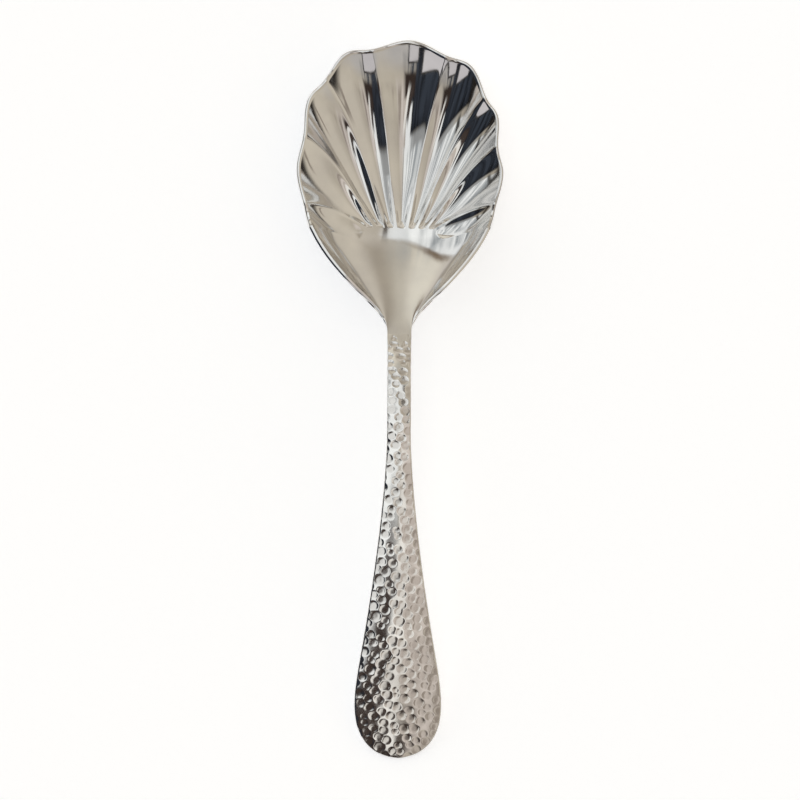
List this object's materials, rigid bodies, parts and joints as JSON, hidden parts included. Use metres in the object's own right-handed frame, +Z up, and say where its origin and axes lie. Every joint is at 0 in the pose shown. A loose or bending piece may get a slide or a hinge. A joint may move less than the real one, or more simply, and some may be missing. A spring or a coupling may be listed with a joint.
{
  "type": "serving spoon",
  "caption": "Serving spoon with a fluted shell bowl, scalloped rim, smooth heel and a hammered handle that widens to a round end.",
  "frame": {"origin": "on the table, under the middle of the spoon's length and width", "axes": "+Y from the handle to the tip of the bowl, +Z up out of the bowl, +X to the right when the bowl points away"},
  "size_m": [0.069, 0.2398, 0.0252],
  "materials": {
    "polished_steel": "mirror-polished stainless steel",
    "hammered_steel": "hammered and polished stainless steel"
  },
  "bodies": {
    "root": {"bowl": "polished_steel", "handle": "hammered_steel"}
  },
  "joints": []
}
